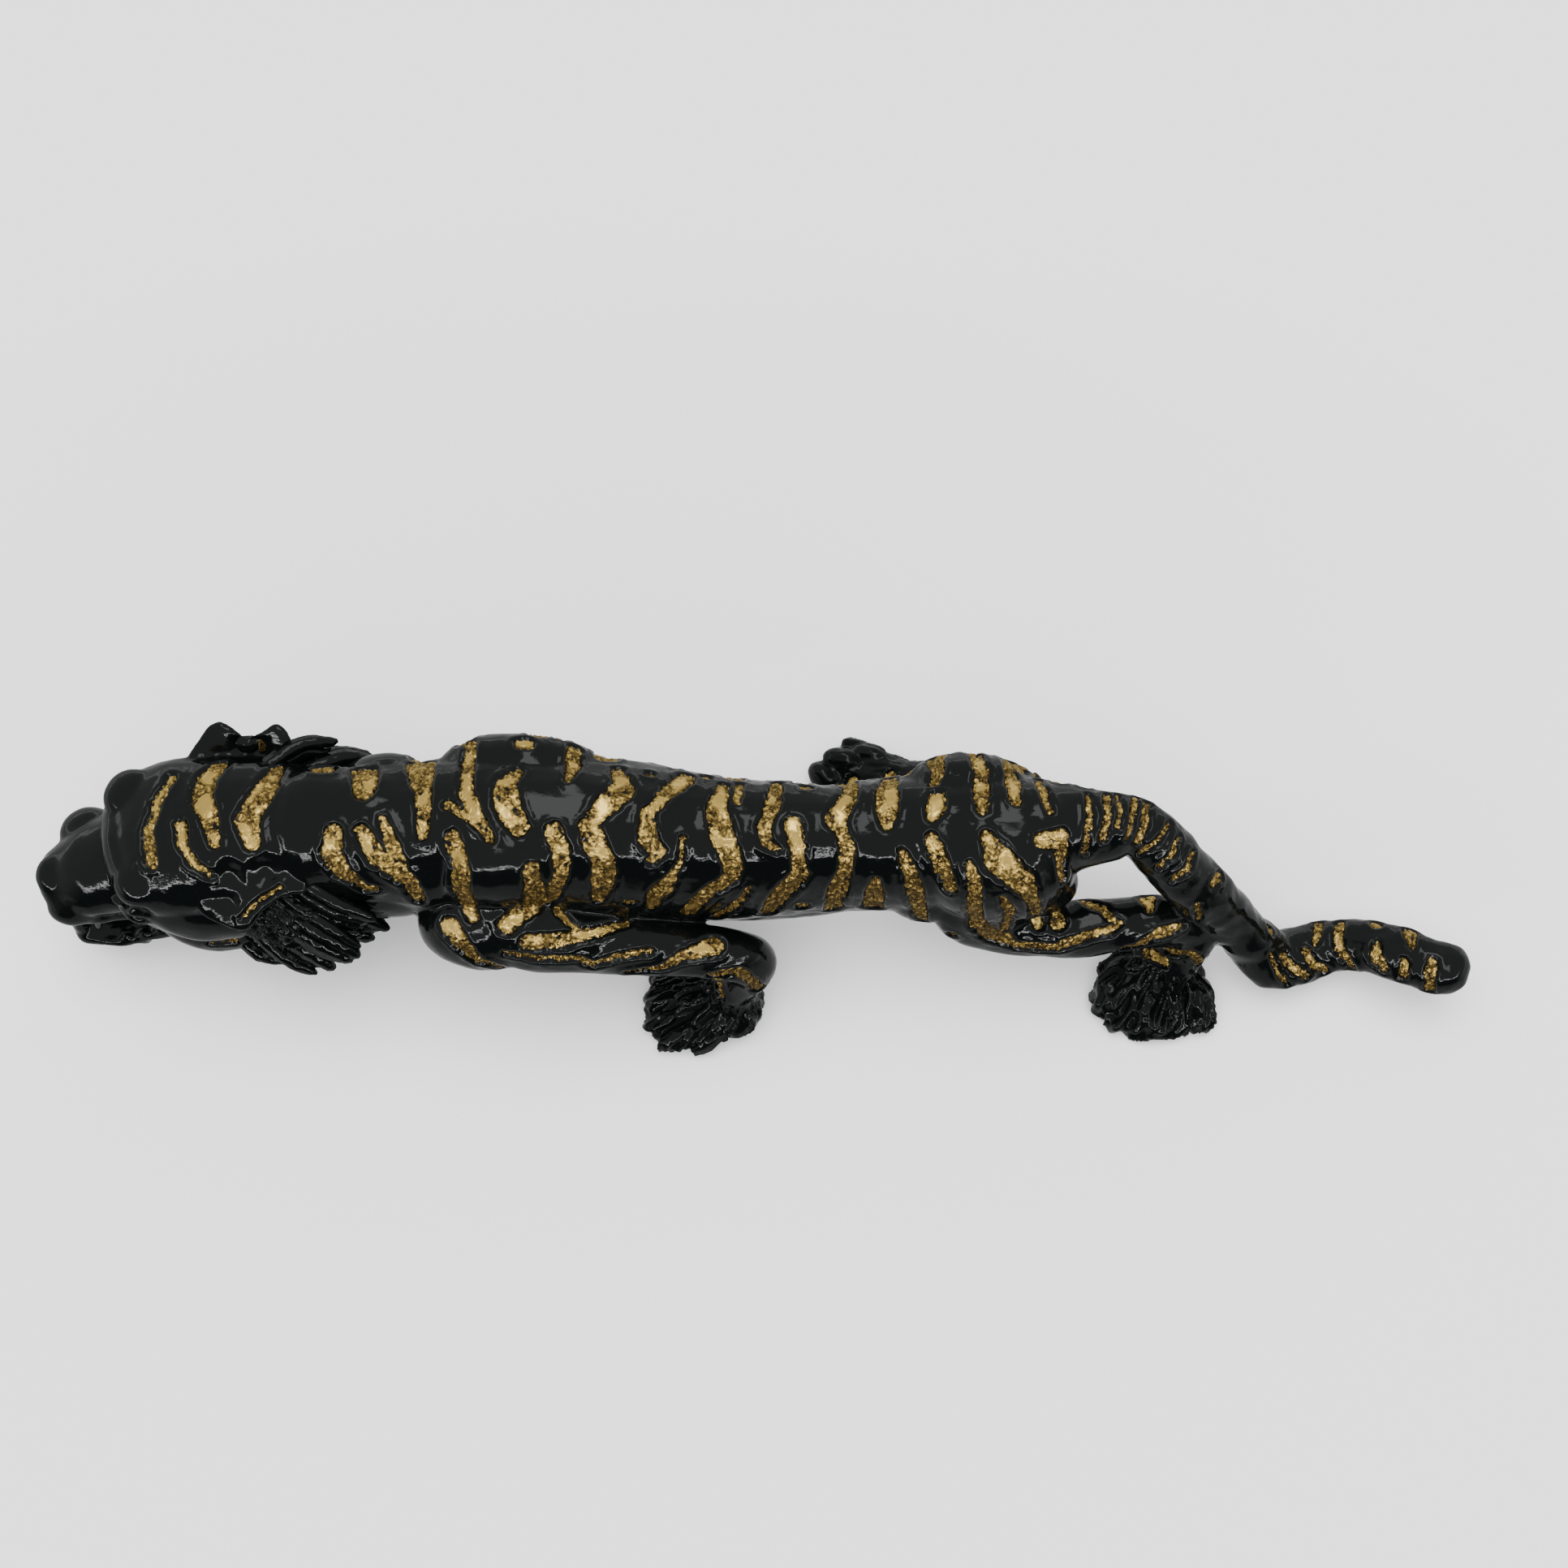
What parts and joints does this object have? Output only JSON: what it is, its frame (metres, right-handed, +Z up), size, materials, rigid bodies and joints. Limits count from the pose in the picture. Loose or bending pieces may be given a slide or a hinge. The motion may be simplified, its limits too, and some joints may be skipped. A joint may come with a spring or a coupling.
{
  "type": "tiger figurine",
  "caption": "Prowling tiger figurine, a low black gloss casting with sunken gold-leafed stripes, a long trailing tail and flat paw soles.",
  "frame": {"origin": "centre of the casting's bounding box, on the floor under the paws", "axes": "-X towards the nose, +X towards the tail tip, +Y to the tiger's right side, +Z up"},
  "size_m": [0.5052, 0.1216, 0.1139],
  "materials": {
    "black_gloss_resin": "gloss",
    "gold_leaf": "satin"
  },
  "bodies": {
    "root": {"tiger": "black_gloss_resin"}
  },
  "joints": []
}
